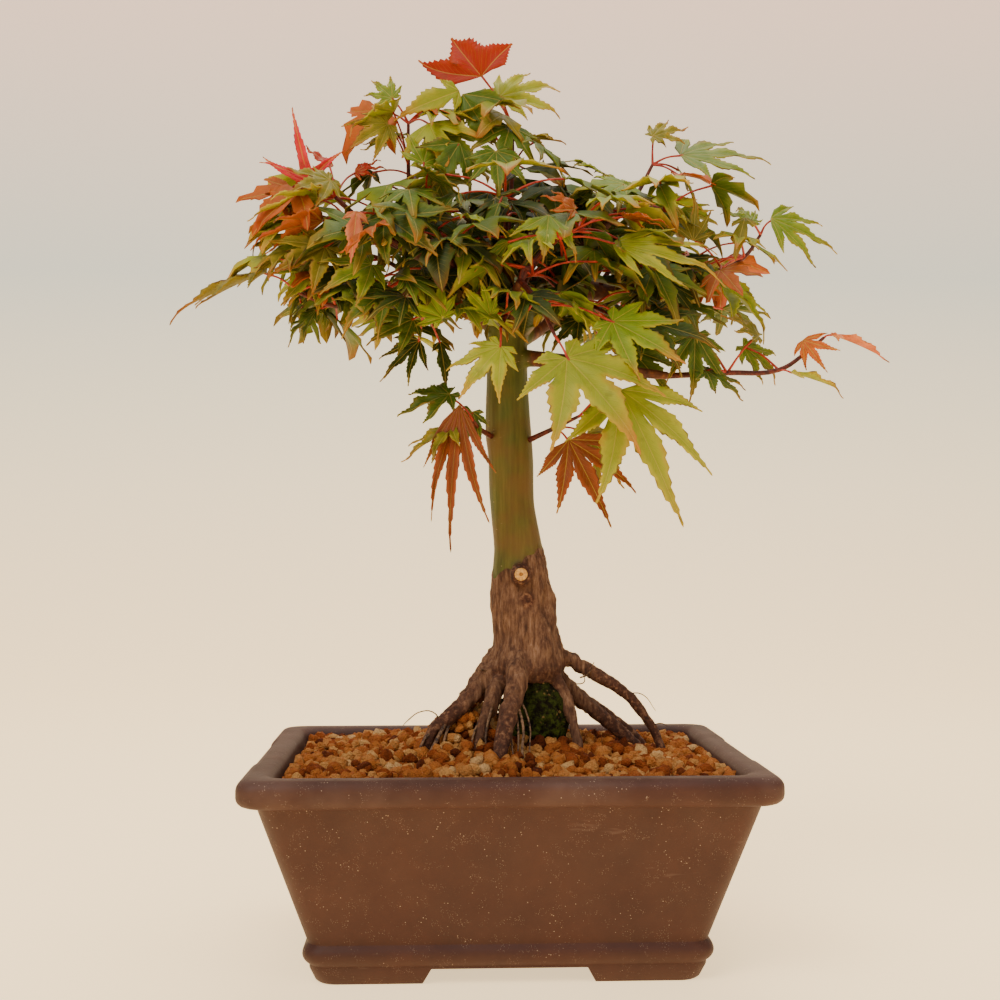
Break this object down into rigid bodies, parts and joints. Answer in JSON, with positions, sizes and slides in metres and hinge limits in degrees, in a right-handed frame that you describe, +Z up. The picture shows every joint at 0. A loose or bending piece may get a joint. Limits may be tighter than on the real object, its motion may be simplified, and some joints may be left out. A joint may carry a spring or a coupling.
{
  "type": "bonsai tree in a pot",
  "caption": "Japanese maple bonsai with a bare straight trunk, spreading surface roots and autumn-tinted leaves, in an unglazed rectangular clay pot filled with granular soil.",
  "frame": {"origin": "on the surface the pot's feet stand on, under the middle of the whole outline", "axes": "+Z up, the front long side of the pot faces -Y, +X to the right seen from the front"},
  "size_m": [0.2194, 0.1324, 0.2845],
  "materials": {
    "unglazed_clay": "unglazed reddish-brown clay, matte with fine pale grit",
    "screen_mesh": "dark plastic mesh",
    "bark": "smooth olive bark above, fibrous grey-brown bark below",
    "moss": "dark damp moss and peat",
    "akadama": "damp granular fired clay soil",
    "leaf_green": "thin satin leaf",
    "leaf_lime": "thin satin leaf",
    "leaf_olive": "thin satin leaf",
    "leaf_orange": "thin satin leaf",
    "leaf_red": "thin satin leaf",
    "leaf_pink": "thin satin leaf"
  },
  "bodies": {
    "root": {"pot": "unglazed_clay", "drain_screen_left": "screen_mesh", "drain_screen_right": "screen_mesh", "trunk_and_roots": "bark", "moss_ball": "moss", "soil_bed": "akadama", "shoot_top": "leaf_red", "shoot_top_left": "leaf_lime", "shoot_upper_left": "leaf_green", "shoot_front_left": "leaf_green", "shoot_pink_tip": "leaf_pink", "shoot_left_fan": "leaf_orange", "shoot_left_drooping": "leaf_green", "shoot_far_left": "leaf_olive", "shoot_lower_left": "leaf_green", "shoot_left_broad": "leaf_green", "shoot_front_middle": "leaf_lime", "shoot_trunk_left": "leaf_orange", "shoot_trunk_right": "leaf_orange", "shoot_front_right": "leaf_lime", "shoot_right_broad": "leaf_green", "shoot_right_low": "leaf_olive", "shoot_right_high": "leaf_olive", "shoot_upper_right": "leaf_lime", "shoot_front_high": "leaf_orange", "shoot_middle_dark": "leaf_green", "shoot_infill_01": "leaf_green", "shoot_infill_02": "leaf_lime", "shoot_infill_03": "leaf_green", "shoot_infill_04": "leaf_lime", "shoot_infill_05": "leaf_olive", "shoot_infill_06": "leaf_green", "shoot_infill_07": "leaf_green", "shoot_infill_08": "leaf_lime", "shoot_infill_09": "leaf_green", "shoot_infill_10": "leaf_lime", "shoot_infill_11": "leaf_olive", "shoot_infill_12": "leaf_green", "shoot_infill_13": "leaf_green", "shoot_infill_14": "leaf_lime", "shoot_infill_15": "leaf_green", "shoot_infill_16": "leaf_lime", "shoot_infill_17": "leaf_olive", "shoot_infill_18": "leaf_green"}
  },
  "joints": []
}
